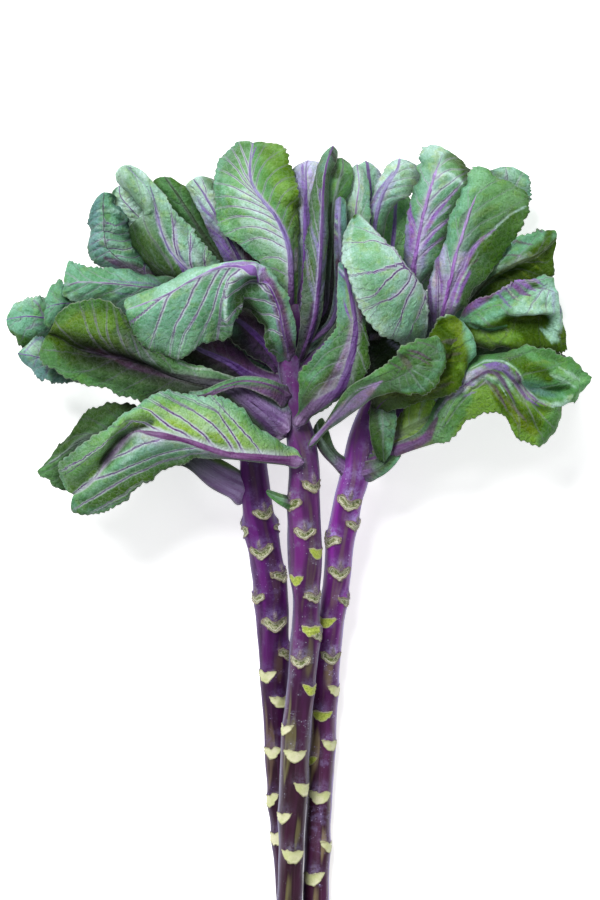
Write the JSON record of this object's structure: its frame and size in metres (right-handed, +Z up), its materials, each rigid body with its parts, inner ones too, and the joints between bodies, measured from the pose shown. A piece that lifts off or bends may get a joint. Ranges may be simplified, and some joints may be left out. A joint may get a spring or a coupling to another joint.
{
  "type": "purple kale bunch",
  "caption": "Cut bunch of purple kale lying on its side: scarred purple stalks and spreading heads of waved green leaves with purple midribs.",
  "frame": {"origin": "centre of the bounding box in X and Y, on the surface that the bunch lies on", "axes": "+Z up from the surface, +Y from the cut ends of the stalks towards the leafy heads, +X to the right seen from above with the heads away from the viewer"},
  "size_m": [0.4691, 0.637, 0.1465],
  "materials": {
    "stalk": "purple skin with a pale waxy bloom, green streaks low down and cream leaf scars",
    "leaf": "waxy blue-green blade with lilac veins and a purple midrib, yellow-green underside"
  },
  "bodies": {
    "root": {"stem_left": "stalk", "stem_right": "stalk", "stem_centre": "stalk", "leaf_under_left": "leaf", "leaf_under_right": "leaf", "leaf_under_middle": "leaf", "leaf_back_right": "leaf", "leaf_back_dark_right": "leaf", "leaf_back_pale_slip": "leaf", "leaf_back_dark_left": "leaf", "leaf_left_pale_lobe": "leaf", "leaf_left_round_tip": "leaf", "leaf_left_slip": "leaf", "leaf_left_bluish_tip": "leaf", "leaf_right_low_dark": "leaf", "leaf_left_ruffled": "leaf", "leaf_left_rolled": "leaf", "leaf_purple_rolled": "leaf", "leaf_left_horizontal": "leaf", "leaf_left_inner": "leaf", "leaf_left_inner_dark": "leaf", "leaf_right_round_pale": "leaf", "leaf_right_pale_upright": "leaf", "leaf_right_folded": "leaf", "leaf_inner_right": "leaf", "leaf_purple_ribbed": "leaf", "leaf_right_big": "leaf", "leaf_right_arched": "leaf", "leaf_centre_back_purple": "leaf", "leaf_centre_dark_curled": "leaf", "leaf_between_stems": "leaf", "leaf_top_fan": "leaf", "leaf_centre_crinkled": "leaf", "leaf_centre_folded": "leaf", "leaf_left_low_behind": "leaf", "leaf_left_cupped": "leaf", "stalk_left_cut": "leaf", "leaf_arching_left": "leaf", "leaf_bud": "leaf", "leaf_left_low_front": "leaf", "leaf_centre_inner": "leaf", "leaf_centre_front": "leaf", "leaf_front_pale": "leaf", "leaf_right_stem_small": "leaf", "leaf_right_yellow": "leaf", "leaf_right_low": "leaf", "leaf_right_hanging": "leaf", "leaf_centre_right_curl": "leaf", "leaf_centre_right_front": "leaf"}
  },
  "joints": []
}
